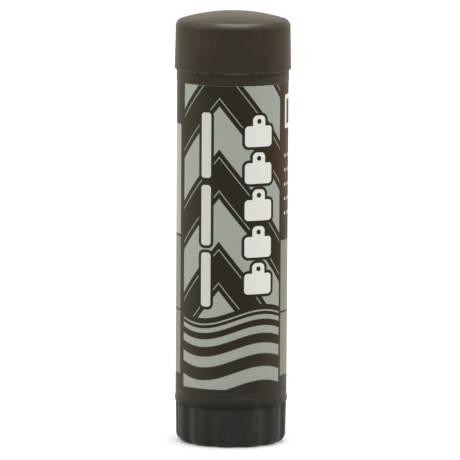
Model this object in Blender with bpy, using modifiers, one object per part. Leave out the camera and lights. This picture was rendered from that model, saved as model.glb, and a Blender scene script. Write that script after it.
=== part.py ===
"""Twist-up animal marking crayon: a stick of wax in a capped barrel, wound out by a screw under the base knob.

Lengths are in metres and +Z is up. The origin is the centre of the foot that the stick stands on, every
moving piece turns or slides on the Z axis, and the label's front faces -Y.
"""

import math

import bmesh
import bpy
from mathutils import Matrix, Vector

# Fits between the pieces
RUN_GAP = 0.0003  # radial play of what turns or slides in a bore
SEAT_GAP = 0.0003  # play where one piece sits on another
THREAD_PLAY = 0.0003  # play of the nut's thread, on the flanks and on the radius
GLUE_GAP = 0.00006  # adhesive between the label and the barrel

# Barrel
BORE_DIAMETER = 0.0304
BARREL_LENGTH = 0.1130  # foot to rim of the neck
BARREL_WALL = 0.00156  # under the label
NECK_LENGTH = 0.0116  # the stretch that the cap covers
NECK_WALL = 0.0009
NECK_FILLET = 0.0003
NECK_BEAD_RISE = 0.00015
NECK_BEAD_WIDTH = 0.0014
NECK_BEAD_LIFT = 0.0030  # middle of the bead above the collar
COLLAR_HEIGHT = 0.00315
COLLAR_RISE = 0.00011  # collar's radius over the label's
COLLAR_FILLET = 0.0004
FOOT_BAND_HEIGHT = 0.0047
FOOT_FLARE = 0.0002  # foot band's radius over the label's
FLARE_LENGTH = 0.0013  # slope between the plain stretch and the band's widest stretch
FLARE_SETBACK = 0.0019  # slope starts this far below the recess
FOOT_TUCK = 0.00045  # how far the foot band draws in above the knob
FOOT_TUCK_HEIGHT = 0.0013
FOOT_TUCK_BLEND = 0.0030
FOOT_FILLET = 0.0002
GUIDE_COUNT = 3
GUIDE_WIDTH = 0.0012
GUIDE_RISE = 0.0006
GUIDE_SETBACK = 0.0060  # guides stop this far below the rim of the neck

# Label
LABEL_FILM = 0.00012
LABEL_END_GAP = 0.0002  # left bare at the top and bottom of the recess
LABEL_SEAM = 0.0012  # gap where the ends of the film meet, at the back

# Cap
CAP_HEIGHT = 0.0176
CAP_WALL = 0.0013
CAP_TOP_WALL = 0.0014
CAP_DRAFT = 0.00033  # how much narrower the side is at the top
CAP_DOME_RADIUS = 0.0485
CAP_RIM_FILLET = 0.0015
CAP_CEILING_FILLET = 0.0008
CAP_MOUTH_FILLET = 0.0005
CAP_GROOVE_DEPTH = 0.00025

# Base knob
GRIP_HEIGHT = 0.01205
GRIP_INSET = 0.0003  # grip's radius under the foot band's
GRIP_DRAFT = 0.0002
GRIP_CORNER = 0.0026
GRIP_EDGE_FILLET = 0.0004
FLUTE_COUNT = 12
FLUTE_WIDTH = 0.0048
FLUTE_DEPTH = 0.0007
FLUTE_PHASE = math.radians(9)  # from the front, towards +X
FOOT_RECESS_DIAMETER = 0.0210
FOOT_RECESS_DEPTH = 0.0005
KNOB_FLOOR = 0.0013
SLEEVE_WALL = 0.0015
SLEEVE_HEIGHT = 0.0070  # above the grip, inside the barrel
SNAP_RISE = 0.00065  # lip that holds the sleeve in the barrel's groove
SNAP_HEIGHT = 0.0016
SNAP_SETBACK = 0.0004  # plain end of the sleeve above the lip
FINGER_SLOTS = 4  # saw cuts that let the sleeve spring in
FINGER_SLOT_WIDTH = 0.0016
FINGER_SLOT_DEPTH = 0.0056
HUB_WALL = 0.0018
WEB_COUNT = 6
WEB_THICKNESS = 0.0010
WEB_HEIGHT = 0.0045

# Spindle
SPINDLE_DIAMETER = 0.0090  # over the thread
THREAD_DEPTH = 0.0011
THREAD_LEAD = 0.0060
THREAD_ROOT = 0.0022
THREAD_CREST = 0.0010
TRAVEL = 0.0840  # fourteen turns
SPIGOT_FLATS = 0.0064  # hexagon pressed into the knob's hub
SPIGOT_LENGTH = 0.0060
FLANGE_LEDGE = 0.0012  # flange beyond the corners of the hexagon
FLANGE_THICKNESS = 0.0012
FLANGE_FILLET = 0.0003
SPINDLE_TIP = 0.0015

# Carrier and crayon
CARRIER_LIFT = 0.0010  # carrier above the knob's sleeve when wound down
CARRIER_WALL = 0.0010
CARRIER_FLOOR = 0.0017
CARRIER_SKIRT = 0.0047
CUP_DEPTH = 0.0061
CUP_FILLET = 0.0003
NUT_LENGTH = 0.0094
NUT_WALL = 0.0022
FIN_COUNT = 4
FIN_THICKNESS = 0.0010
FIN_HEIGHT = 0.0045
FIN_LENGTH = 0.0060
TIP_SETBACK = 0.0015  # tip below the rim of the neck when wound down
TIP_FILLET = 0.0012

# Mesh resolution
TURN_STEPS = 48
THREAD_STEPS = 16  # per turn
ARC_STEPS = 2
DOME_STEPS = 5
FLUTE_STEPS = 32
SHARP_ANGLE = math.radians(35)
MERGE = 0.00001
OVERLAP = 0.0005  # how far joined shapes reach into each other, and cutters past a wall

# Radii, from the bore outwards and inwards
BORE = BORE_DIAMETER / 2
LABEL_SEAT = BORE + BARREL_WALL
LABEL_INSIDE = LABEL_SEAT + GLUE_GAP
LABEL_OUTSIDE = LABEL_INSIDE + LABEL_FILM
COLLAR = LABEL_OUTSIDE + COLLAR_RISE
FOOT_BAND = LABEL_OUTSIDE + FOOT_FLARE
NECK = BORE + NECK_WALL
CAP_BORE = NECK + RUN_GAP
CAP_MOUTH = CAP_BORE + CAP_WALL
GRIP_TOP = FOOT_BAND - GRIP_INSET
SLEEVE = BORE - RUN_GAP
SLEEVE_INSIDE = SLEEVE - SLEEVE_WALL
LIP = SLEEVE + SNAP_RISE
CARRIER = BORE - RUN_GAP
CUP = CARRIER - CARRIER_WALL
THREAD_OUTSIDE = SPINDLE_DIAMETER / 2
THREAD_CORE = THREAD_OUTSIDE - THREAD_DEPTH
NUT_BORE = THREAD_CORE + THREAD_PLAY
NUT_OUTSIDE = THREAD_OUTSIDE + THREAD_PLAY + NUT_WALL
SPIGOT_CORNER = SPIGOT_FLATS / math.sqrt(3)
HUB_SOCKET = SPIGOT_CORNER + RUN_GAP
HUB = HUB_SOCKET + HUB_WALL
CRAYON_BORE = THREAD_OUTSIDE + RUN_GAP

# Heights above the foot
HUB_FLOOR = FOOT_RECESS_DEPTH + KNOB_FLOOR
FLANGE_FOOT = HUB_FLOOR + SEAT_GAP + SPIGOT_LENGTH
HUB_TOP = FLANGE_FOOT - SEAT_GAP
BARREL_FOOT = GRIP_HEIGHT + SEAT_GAP
SLEEVE_TOP = GRIP_HEIGHT + SLEEVE_HEIGHT
LIP_TOP = SLEEVE_TOP - SNAP_SETBACK - SNAP_RISE
NECK_RIM = BARREL_FOOT + BARREL_LENGTH
COLLAR_TOP = NECK_RIM - NECK_LENGTH
CAP_FOOT = COLLAR_TOP + SEAT_GAP
LABEL_FOOT = BARREL_FOOT + FOOT_BAND_HEIGHT + LABEL_END_GAP
LABEL_TOP = COLLAR_TOP - COLLAR_HEIGHT - LABEL_END_GAP
CARRIER_FOOT = SLEEVE_TOP + CARRIER_LIFT
CUP_FLOOR = CARRIER_FOOT + CARRIER_SKIRT + CARRIER_FLOOR
CUP_RIM = CUP_FLOOR + CUP_DEPTH
NUT_FOOT = CUP_FLOOR - NUT_LENGTH
CRAYON_FOOT = CUP_FLOOR + SEAT_GAP
CRAYON_TIP = NECK_RIM - TIP_SETBACK
THREAD_FOOT = NUT_FOOT - THREAD_LEAD / 4
THREAD_TURNS = math.ceil((CUP_FLOOR + TRAVEL - THREAD_FOOT) / THREAD_LEAD)
THREAD_TOP = THREAD_FOOT + THREAD_TURNS * THREAD_LEAD
SPINDLE_TOP = THREAD_TOP + THREAD_ROOT + SPINDLE_TIP
GUIDE_FOOT = CARRIER_FOOT
GUIDE_TOP = NECK_RIM - GUIDE_SETBACK


def arc(centre, radius, start, end, steps):
    """Points along an arc of the (radius, height) plane, with angles measured from the radius axis."""
    angles = [start + (end - start) * i / steps for i in range(steps + 1)]
    return [centre + radius * Vector((math.cos(a), math.sin(a))) for a in angles]


def rounded(corners, closed=False):
    """Outline points through (radius, height, fillet) corners. Each fillet is limited by its two sides."""
    points = []
    for i, (radius, height, fillet) in enumerate(corners):
        here = Vector((radius, height))
        is_end = not closed and i in (0, len(corners) - 1)
        if is_end or not fillet:
            points.append(here)
            continue
        to_last = Vector(corners[i - 1][:2]) - here
        to_next = Vector(corners[(i + 1) % len(corners)][:2]) - here
        half = to_last.angle(to_next) / 2
        reach = min(fillet / math.tan(half), 0.45 * to_last.length, 0.45 * to_next.length)
        bend = reach * math.tan(half)
        middle = (to_last.normalized() + to_next.normalized()).normalized()
        centre = here + middle * bend / math.sin(half)
        first = here + to_last.normalized() * reach - centre
        last = here + to_next.normalized() * reach - centre
        start = math.atan2(first.y, first.x)
        sweep = math.remainder(math.atan2(last.y, last.x) - start, math.tau)
        points += arc(centre, bend, start, start + sweep, ARC_STEPS)
    return points


def domed_top(apex, dome_radius, side, fillet):
    """Outline from the axis over a shallow dome and a filleted rim to a straight side."""
    dome_centre = Vector((0, apex - dome_radius))
    offset = side - fillet
    rim_centre = Vector((offset, dome_centre.y + math.sqrt((dome_radius - fillet) ** 2 - offset**2)))
    meet = math.atan2(rim_centre.y - dome_centre.y, offset)
    dome = arc(dome_centre, dome_radius, math.pi / 2, meet, DOME_STEPS)
    dome[0].x = 0
    return dome + arc(rim_centre, fillet, meet, 0, ARC_STEPS + 1)[1:]


def new_object(name, mesh, collection, parent, height=0.0):
    obj = bpy.data.objects.new(name, mesh)
    obj.parent = parent
    obj.location.z = height
    collection.objects.link(obj)
    return obj


def profile(name, points, closed, collection, parent, height=0.0):
    """An outline of (radius, height) points, drawn at +X."""
    edges = [(i, i + 1) for i in range(len(points) - 1)]
    if closed:
        edges.append((len(points) - 1, 0))
    mesh = bpy.data.meshes.new(name)
    mesh.from_pydata([(radius, 0, level) for radius, level in points], edges, [])
    return new_object(name, mesh, collection, parent, height)


def turn(obj, steps, angle=math.tau, rise=0.0):
    """Sweep a profile round the Z axis, with a rise for a helix."""
    screw = obj.modifiers.new("Turn", "SCREW")
    screw.axis = "Z"
    screw.angle = angle
    screw.screw_offset = rise
    screw.steps = steps
    screw.render_steps = steps
    screw.use_merge_vertices = True
    screw.merge_threshold = MERGE
    screw.use_smooth_shade = True


def turned(name, points, closed, collection, parent, height=0.0):
    obj = profile(name, points, closed, collection, parent, height)
    turn(obj, TURN_STEPS)
    return obj


def evaluated_mesh(obj):
    graph = bpy.context.evaluated_depsgraph_get()
    return bpy.data.meshes.new_from_object(obj.evaluated_get(graph))


def tool(name, shape, parent, height=0.0):
    """A hidden helper body, from a bmesh, that a Boolean adds or takes away."""
    mesh = bpy.data.meshes.new(name)
    shape.to_mesh(mesh)
    shape.free()
    obj = new_object(name, mesh, TOOLS, parent, height)
    obj.hide_render = True
    obj.display_type = "WIRE"
    return obj


def combine(obj, helper, operation):
    boolean = obj.modifiers.new(helper.name, "BOOLEAN")
    boolean.operation = operation
    boolean.object = helper
    boolean.solver = "EXACT"


def radial_blocks(count, inner, outer, width, foot, top, phase=0.0):
    """Upright blocks set round the Z axis like spokes."""
    shape = bmesh.new()
    size = Matrix.Diagonal((outer - inner, width, top - foot, 1))
    shift = Matrix.Translation(((inner + outer) / 2, 0, (foot + top) / 2))
    for i in range(count):
        spin = Matrix.Rotation(phase + math.tau * i / count, 4, "Z")
        bmesh.ops.create_cube(shape, size=1, matrix=spin @ shift @ size)
    return shape


def prism(sides, radius, foot, top, places=((0, 0),)):
    """Upright prisms with their corners on circles round the given places."""
    shape = bmesh.new()
    for x, y in places:
        bmesh.ops.create_cone(
            shape,
            cap_ends=True,
            segments=sides,
            radius1=radius,
            radius2=radius,
            depth=top - foot,
            matrix=Matrix.Translation((x, y, (foot + top) / 2)),
        )
    return shape


def thread_ridge(name, play, turns, parent, height):
    """Left-hand helical ridge with a trapezoid section, sunk into the core and closed at both ends."""
    inside = THREAD_CORE - OVERLAP
    outside = THREAD_OUTSIDE + play
    root = THREAD_ROOT / 2 + play
    crest = THREAD_CREST / 2 + play
    section = [
        Vector((inside, THREAD_FOOT + root)),
        Vector((outside, THREAD_FOOT + crest)),
        Vector((outside, THREAD_FOOT - crest)),
        Vector((inside, THREAD_FOOT - root)),
    ]
    sweep = profile(name + "_section", section, True, TOOLS, parent, height)
    turn(sweep, turns * THREAD_STEPS, -math.tau * turns, turns * THREAD_LEAD)
    shape = bmesh.new()
    shape.from_mesh(evaluated_mesh(sweep))
    bpy.data.objects.remove(sweep)
    bmesh.ops.holes_fill(shape, edges=[edge for edge in shape.edges if edge.is_boundary])
    bmesh.ops.recalc_face_normals(shape, faces=shape.faces)
    return tool(name, shape, parent, height)


def plastic(name, colour, roughness):
    material = bpy.data.materials.new(name)
    material.use_nodes = True
    shader = material.node_tree.nodes["Principled BSDF"]
    shader.inputs["Base Color"].default_value = (*colour, 1)
    shader.inputs["Roughness"].default_value = roughness
    shader.inputs["Metallic"].default_value = 0
    return material


def finish(obj, material):
    """Settle the modifiers, shade the round faces smooth and give the piece its material."""
    obj.data = evaluated_mesh(obj)
    obj.modifiers.clear()
    obj.data.shade_smooth()
    obj.data.set_sharp_from_angle(angle=SHARP_ANGLE)
    obj.data.materials.clear()
    obj.data.materials.append(material)


def make_cap(parent):
    side = CAP_MOUTH - CAP_DRAFT
    outside = domed_top(CAP_HEIGHT, CAP_DOME_RADIUS, side, CAP_RIM_FILLET)
    ceiling = domed_top(
        CAP_HEIGHT - CAP_TOP_WALL,
        CAP_DOME_RADIUS - CAP_TOP_WALL,
        CAP_BORE,
        CAP_CEILING_FILLET,
    )
    bead = NECK_BEAD_LIFT - SEAT_GAP
    groove = CAP_BORE + CAP_GROOVE_DEPTH
    mouth = [
        (*outside[-1], 0),
        (CAP_MOUTH, 0, CAP_MOUTH_FILLET),
        (CAP_BORE, 0, CAP_MOUTH_FILLET / 2),
        (CAP_BORE, bead - NECK_BEAD_WIDTH, 0),
        (groove, bead - NECK_BEAD_WIDTH / 2, 0),
        (groove, bead + NECK_BEAD_WIDTH / 2, 0),
        (CAP_BORE, bead + NECK_BEAD_WIDTH, 0),
        (*ceiling[-1], 0),
    ]
    points = outside[:-1] + rounded(mouth) + ceiling[-2::-1]
    obj = turned("cap", points, False, PARTS, parent)
    finish(obj, plastic("cap_black", (0.030, 0.027, 0.023), 0.42))


def make_barrel(parent):
    bead = COLLAR_TOP + NECK_BEAD_LIFT
    bead_radius = NECK + NECK_BEAD_RISE
    recess_top = LABEL_TOP + LABEL_END_GAP
    recess_foot = LABEL_FOOT - LABEL_END_GAP
    groove = LIP + RUN_GAP
    groove_foot = LIP_TOP - SNAP_HEIGHT - SEAT_GAP
    groove_top = LIP_TOP + SEAT_GAP
    corners = [
        (NECK, NECK_RIM, NECK_FILLET),
        (NECK, bead + NECK_BEAD_WIDTH / 2, 0),
        (bead_radius, bead + NECK_BEAD_WIDTH / 6, 0),
        (bead_radius, bead - NECK_BEAD_WIDTH / 6, 0),
        (NECK, bead - NECK_BEAD_WIDTH / 2, 0),
        (NECK, COLLAR_TOP, 0),
        (COLLAR, COLLAR_TOP, COLLAR_FILLET),
        (COLLAR, recess_top, 0),
        (LABEL_SEAT, recess_top, 0),
        (LABEL_SEAT, recess_foot, 0),
        (LABEL_OUTSIDE, recess_foot, 0),
        (LABEL_OUTSIDE, recess_foot - FLARE_SETBACK, 0),
        (FOOT_BAND, recess_foot - FLARE_SETBACK - FLARE_LENGTH, 0),
        (FOOT_BAND, BARREL_FOOT + FOOT_TUCK_HEIGHT, FOOT_TUCK_BLEND),
        (FOOT_BAND - FOOT_TUCK, BARREL_FOOT, FOOT_FILLET),
        (BORE, BARREL_FOOT, 0),
        (BORE, groove_foot, 0),
        (groove, groove_foot, 0),
        (groove, groove_top, 0),
        (BORE, groove_top + groove - BORE, 0),
        (BORE, NECK_RIM, NECK_FILLET),
    ]
    points = [Vector((p.x, p.y - BARREL_FOOT)) for p in rounded(corners, closed=True)]
    obj = turned("barrel", points, True, PARTS, parent, BARREL_FOOT)
    guides = radial_blocks(
        GUIDE_COUNT, BORE - GUIDE_RISE, BORE + OVERLAP, GUIDE_WIDTH, GUIDE_FOOT, GUIDE_TOP
    )
    combine(obj, tool("bore_guides", guides, parent), "UNION")
    finish(obj, plastic("barrel_black", (0.029, 0.026, 0.022), 0.45))


def make_label(parent):
    seam = LABEL_SEAM / LABEL_INSIDE
    strip = [Vector((LABEL_INSIDE, LABEL_TOP - LABEL_FOOT)), Vector((LABEL_INSIDE, 0))]
    obj = profile("label", strip, False, PARTS, parent, LABEL_FOOT)
    turn(obj, TURN_STEPS, math.tau - seam)
    obj.rotation_euler.z = math.pi / 2 + seam / 2
    film = obj.modifiers.new("Film", "SOLIDIFY")
    film.thickness = LABEL_FILM
    film.offset = 1
    film.use_even_offset = True
    finish(obj, plastic("label_film", (0.33, 0.35, 0.29), 0.50))


def make_base_knob(parent):
    corners = [
        (0, HUB_TOP, 0),
        (HUB, HUB_TOP, 0),
        (HUB, HUB_FLOOR, 0),
        (SLEEVE_INSIDE, HUB_FLOOR, 0),
        (SLEEVE_INSIDE, SLEEVE_TOP, 0),
        (SLEEVE, SLEEVE_TOP, 0),
        (SLEEVE, LIP_TOP + SNAP_RISE, 0),
        (LIP, LIP_TOP, 0),
        (LIP, LIP_TOP - SNAP_HEIGHT / 2, 0),
        (SLEEVE, LIP_TOP - SNAP_HEIGHT, 0),
        (SLEEVE, GRIP_HEIGHT, 0),
        (GRIP_TOP, GRIP_HEIGHT, GRIP_EDGE_FILLET),
        (GRIP_TOP - GRIP_DRAFT, 0, GRIP_CORNER),
        (FOOT_RECESS_DIAMETER / 2, 0, 0),
        (FOOT_RECESS_DIAMETER / 2 - FOOT_RECESS_DEPTH, FOOT_RECESS_DEPTH, 0),
        (0, FOOT_RECESS_DEPTH, 0),
    ]
    obj = turned("base_knob", rounded(corners), False, PARTS, parent)

    webs = radial_blocks(
        WEB_COUNT,
        HUB - OVERLAP,
        SLEEVE_INSIDE + OVERLAP,
        WEB_THICKNESS,
        HUB_FLOOR - OVERLAP,
        HUB_FLOOR + WEB_HEIGHT,
    )
    combine(obj, tool("knob_webs", webs, parent), "UNION")

    socket = prism(6, HUB_SOCKET, HUB_FLOOR, HUB_TOP + OVERLAP)
    combine(obj, tool("hub_socket", socket, parent), "DIFFERENCE")

    slots = radial_blocks(
        FINGER_SLOTS,
        SLEEVE_INSIDE - OVERLAP,
        LIP + OVERLAP,
        FINGER_SLOT_WIDTH,
        SLEEVE_TOP - FINGER_SLOT_DEPTH,
        SLEEVE_TOP + OVERLAP,
        math.pi / FINGER_SLOTS,
    )
    combine(obj, tool("finger_slots", slots, parent), "DIFFERENCE")

    scoop = FLUTE_WIDTH**2 / (8 * FLUTE_DEPTH) + FLUTE_DEPTH / 2
    reach = GRIP_TOP - FLUTE_DEPTH + scoop
    angles = [FLUTE_PHASE - math.pi / 2 + math.tau * i / FLUTE_COUNT for i in range(FLUTE_COUNT)]
    places = [(reach * math.cos(angle), reach * math.sin(angle)) for angle in angles]
    flutes = prism(FLUTE_STEPS, scoop, -OVERLAP, GRIP_HEIGHT + OVERLAP, places)
    combine(obj, tool("grip_flutes", flutes, parent), "DIFFERENCE")
    finish(obj, plastic("knob_black", (0.028, 0.027, 0.024), 0.48))


def make_spindle(parent):
    flange = SPIGOT_CORNER + FLANGE_LEDGE
    corners = [
        (0, SPINDLE_TOP, 0),
        (THREAD_CORE - SPINDLE_TIP, SPINDLE_TOP, 0),
        (THREAD_CORE, SPINDLE_TOP - SPINDLE_TIP, 0),
        (THREAD_CORE, FLANGE_FOOT + FLANGE_THICKNESS, 0),
        (flange, FLANGE_FOOT + FLANGE_THICKNESS, FLANGE_FILLET),
        (flange, FLANGE_FOOT, FLANGE_FILLET),
        (0, FLANGE_FOOT, 0),
    ]
    points = [Vector((p.x, p.y - FLANGE_FOOT)) for p in rounded(corners)]
    obj = profile("spindle", points, False, PARTS, parent, FLANGE_FOOT)
    turn(obj, THREAD_STEPS)

    spigot = prism(6, SPIGOT_CORNER, -SPIGOT_LENGTH, OVERLAP)
    combine(obj, tool("spindle_spigot", spigot, parent, FLANGE_FOOT), "UNION")

    ridge = thread_ridge("spindle_thread", 0, THREAD_TURNS, parent, 0)
    combine(obj, ridge, "UNION")
    finish(obj, plastic("spindle_natural", (0.62, 0.61, 0.57), 0.45))


def make_carrier(parent):
    cup_floor = CUP_FLOOR - CARRIER_FOOT
    cup_rim = CUP_RIM - CARRIER_FOOT
    nut_foot = NUT_FOOT - CARRIER_FOOT
    corners = [
        (CARRIER, cup_rim, CUP_FILLET),
        (CARRIER, 0, 0),
        (CUP, 0, 0),
        (CUP, CARRIER_SKIRT, 0),
        (NUT_OUTSIDE, CARRIER_SKIRT, 0),
        (NUT_OUTSIDE, nut_foot, 0),
        (NUT_BORE, nut_foot, 0),
        (NUT_BORE, cup_floor, 0),
        (CUP, cup_floor, 0),
        (CUP, cup_rim, 0),
    ]
    obj = turned("carrier", rounded(corners, closed=True), True, PARTS, parent)

    fin_start = CRAYON_BORE + SEAT_GAP
    fins = radial_blocks(
        FIN_COUNT,
        fin_start,
        fin_start + FIN_LENGTH,
        FIN_THICKNESS,
        cup_floor - OVERLAP,
        cup_floor + FIN_HEIGHT,
        math.pi / FIN_COUNT,
    )
    combine(obj, tool("wax_fins", fins, parent), "UNION")

    notches = radial_blocks(
        GUIDE_COUNT,
        BORE - GUIDE_RISE - RUN_GAP,
        BORE + OVERLAP,
        GUIDE_WIDTH + 2 * RUN_GAP,
        -OVERLAP,
        cup_rim + OVERLAP,
    )
    combine(obj, tool("carrier_notches", notches, parent), "DIFFERENCE")

    turns = math.ceil((CUP_FLOOR - THREAD_FOOT) / THREAD_LEAD) + 1
    tap = thread_ridge("nut_thread", THREAD_PLAY, turns, parent, -CARRIER_FOOT)
    combine(obj, tap, "DIFFERENCE")
    finish(obj, plastic("carrier_natural", (0.62, 0.61, 0.57), 0.45))


def make_crayon(parent):
    length = CRAYON_TIP - CRAYON_FOOT
    shoulder = CUP_RIM + SEAT_GAP - CRAYON_FOOT
    bore_end = SPINDLE_TOP + SEAT_GAP - CRAYON_FOOT
    corners = [
        (0, length, 0),
        (CARRIER, length, TIP_FILLET),
        (CARRIER, shoulder, 0),
        (CUP - RUN_GAP, shoulder, 0),
        (CUP - RUN_GAP, 0, 0),
        (CRAYON_BORE, 0, 0),
        (CRAYON_BORE, bore_end, 0),
        (0, bore_end, 0),
    ]
    height = CRAYON_FOOT - CARRIER_FOOT
    obj = turned("crayon", rounded(corners), False, PARTS, parent, height)

    fin_start = CRAYON_BORE + SEAT_GAP
    fin_slots = radial_blocks(
        FIN_COUNT,
        CRAYON_BORE - OVERLAP,
        fin_start + FIN_LENGTH + SEAT_GAP,
        FIN_THICKNESS + 2 * SEAT_GAP,
        -OVERLAP,
        FIN_HEIGHT,
        math.pi / FIN_COUNT,
    )
    combine(obj, tool("fin_slots", fin_slots, parent, height), "DIFFERENCE")

    grooves = radial_blocks(
        GUIDE_COUNT,
        BORE - GUIDE_RISE - RUN_GAP,
        BORE + OVERLAP,
        GUIDE_WIDTH + 2 * RUN_GAP,
        -OVERLAP,
        GUIDE_TOP + SEAT_GAP - CRAYON_FOOT,
    )
    combine(obj, tool("crayon_grooves", grooves, parent, height), "DIFFERENCE")
    finish(obj, plastic("wax_black", (0.020, 0.019, 0.019), 0.55))


def clear_scene():
    for obj in list(bpy.data.objects):
        bpy.data.objects.remove(obj)


def new_collection(name):
    collection = bpy.data.collections.new(name)
    bpy.context.scene.collection.children.link(collection)
    return collection


def new_axis(name, parent=None, height=0.0):
    """An empty on the Z axis that carries what moves together."""
    return new_object(name, None, PARTS, parent, height)


clear_scene()
PARTS = new_collection("animal_marking_crayon")
TOOLS = new_collection("cutters")

stick = new_axis("stick")
knob_twist = new_axis("knob_twist", stick)
crayon_feed = new_axis("crayon_feed", stick, CARRIER_FOOT)
cap_pull = new_axis("cap_pull", crayon_feed, CAP_FOOT - CARRIER_FOOT)

make_barrel(stick)
make_label(stick)
make_base_knob(knob_twist)
make_spindle(knob_twist)
make_carrier(crayon_feed)
make_crayon(crayon_feed)
make_cap(cap_pull)
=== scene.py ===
# %% [markdown]
# # A twist-up marking crayon
# This lesson dresses a ready CAD model of a farmer's marking crayon: a stick of wax in a black barrel,
# with a domed cap, a printed wrap label and a fluted knob that winds the wax out. The CAD model is loaded
# first and never changed. Each visible piece is then modelled afresh with Blender's own tools, finer than
# the CAD solid that it stands for, and is told which moving body of the model it rides on.

# %% Load the frame
import math
from functools import reduce
from operator import or_

import bpy
from mathutils import Matrix, Vector


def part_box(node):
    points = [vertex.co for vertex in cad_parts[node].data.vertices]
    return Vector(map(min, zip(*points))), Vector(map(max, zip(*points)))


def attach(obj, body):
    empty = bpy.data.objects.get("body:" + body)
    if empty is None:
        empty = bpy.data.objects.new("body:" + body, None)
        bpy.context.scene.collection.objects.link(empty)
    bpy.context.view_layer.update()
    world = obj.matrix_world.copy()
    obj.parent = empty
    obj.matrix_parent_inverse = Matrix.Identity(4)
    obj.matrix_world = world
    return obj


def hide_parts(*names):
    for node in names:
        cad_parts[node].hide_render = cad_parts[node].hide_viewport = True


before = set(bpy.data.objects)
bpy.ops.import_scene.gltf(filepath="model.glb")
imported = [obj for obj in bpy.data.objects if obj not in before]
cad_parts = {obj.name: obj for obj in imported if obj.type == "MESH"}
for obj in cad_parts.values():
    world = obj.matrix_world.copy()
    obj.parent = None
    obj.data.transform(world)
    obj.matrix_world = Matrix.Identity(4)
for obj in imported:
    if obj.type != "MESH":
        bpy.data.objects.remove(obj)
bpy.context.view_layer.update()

print("nodes:", sorted(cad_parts))

# %% [markdown]
# ## Measures
# Nearly all of the stick is round, so a drawing of a piece is a line of (radius, height) points in
# millimetres. The outside sizes are read from the CAD boxes, and the fits between the pieces are the few
# plays that a moulder would put on the drawing, so that the new pieces land exactly where the old ones are.
# Where one piece only sits on another, the seam is drawn as tight as it looks on the real stick.

# %% Sizes taken from the CAD model
MM = 0.001
PLAY = 0.3
SEAT = 0.03


def span(node):
    """Outside radius, foot and top of a CAD node, in millimetres."""
    low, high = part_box(node)
    return high.x / MM, low.z / MM, high.z / MM


cap_radius, cap_foot, cap_top = span("cap")
band_radius, barrel_foot, barrel_top = span("barrel")
film_radius, film_foot, film_top = span("label")
wax_radius, wax_foot, wax_top = span("crayon")
sleeve_top = span("base_knob")[2]
cup_rim = span("carrier")[2]
spindle_top = span("spindle")[2]
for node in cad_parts:
    print(node, "radius %.2f, from %.2f to %.2f mm" % span(node))

# %% [markdown]
# ## Turning on a lathe
# A lathe is the natural tool for a stick like this. One vertex is pulled along the drawing by extruding it
# from point to point, and Spin sweeps that line round the Z axis. Spin leaves double vertices where the
# sweep closes and on the axis, so these are merged before the normals are turned outwards.

# %% A lathe from extrude and spin
ROUND_STEPS = 360
MERGE = 0.002


def lathe(name, drawing, sweep=math.tau, start=0.0):
    """Turn a drawing of (radius, height) points round Z, from the angle start, measured from +X."""
    out = Vector((math.cos(start), math.sin(start), 0)) * MM
    points = [out * radius + Vector((0, 0, height * MM)) for radius, height in drawing]
    bpy.ops.object.select_all(action="DESELECT")
    bpy.ops.mesh.primitive_plane_add(size=MM)
    piece = bpy.context.object
    piece.name = piece.data.name = name
    bpy.context.tool_settings.mesh_select_mode = (True, False, False)
    bpy.ops.object.mode_set(mode="EDIT")
    bpy.ops.mesh.select_all(action="SELECT")
    bpy.ops.mesh.merge(type="CENTER")
    bpy.ops.transform.translate(value=points[0])
    for last, point in zip(points, points[1:]):
        bpy.ops.mesh.extrude_vertices_move(TRANSFORM_OT_translate={"value": point - last})
    bpy.ops.mesh.select_all(action="SELECT")
    bpy.ops.mesh.spin(steps=ROUND_STEPS, angle=-sweep, center=(0, 0, 0), axis=(0, 0, 1))
    bpy.ops.mesh.select_all(action="SELECT")
    bpy.ops.mesh.remove_doubles(threshold=MERGE * MM)
    bpy.ops.mesh.normals_make_consistent(inside=False)
    bpy.ops.object.mode_set(mode="OBJECT")
    return piece


print("the lathe takes %d steps and merges points within %.3f mm" % (ROUND_STEPS, MERGE))

# %% [markdown]
# ## Selecting in code
# By hand one would click a ring of edges and bevel it. Here a ring is found by its radius and height, and
# a column of points by its angle. Selection flags are set in object mode, on vertices, edges and faces
# alike, because edit mode rebuilds the one from the other.

# %% Pick vertices by their place
NEAR = 0.01


def activate(piece):
    """Make a piece the only one that is selected, and the one that operators act on."""
    bpy.ops.object.select_all(action="DESELECT")
    bpy.context.view_layer.objects.active = piece
    piece.select_set(True)


def place(vertex):
    """Radius and height of a vertex in millimetres, and its angle round Z."""
    x, y, z = vertex.co
    return math.hypot(x, y) / MM, z / MM, math.atan2(y, x)


def pick(piece, test):
    """Enter edit mode with only those vertices selected whose (radius, height, angle) pass the test."""
    activate(piece)
    mesh = piece.data
    chosen = [test(*place(vertex)) for vertex in mesh.vertices]
    edges = [chosen[a] and chosen[b] for a, b in (edge.vertices for edge in mesh.edges)]
    faces = [all(chosen[i] for i in face.vertices) for face in mesh.polygons]
    mesh.vertices.foreach_set("select", chosen)
    mesh.edges.foreach_set("select", edges)
    mesh.polygons.foreach_set("select", faces)
    bpy.ops.object.mode_set(mode="EDIT")
    return sum(chosen)


print("a place is matched to %.2f mm" % NEAR)

# %% [markdown]
# ## Three shop tools
# Soften rounds an edge that runs round the piece. Press pushes upright columns of points towards the axis,
# which makes ribs, grooves and flutes without a Boolean, because the lathe leaves a column at each degree.
# Smooth shades the round faces and keeps true corners sharp.

# %% Soften, press and smooth
COLUMN = math.tau / ROUND_STEPS
SHARP = math.radians(32)


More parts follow.
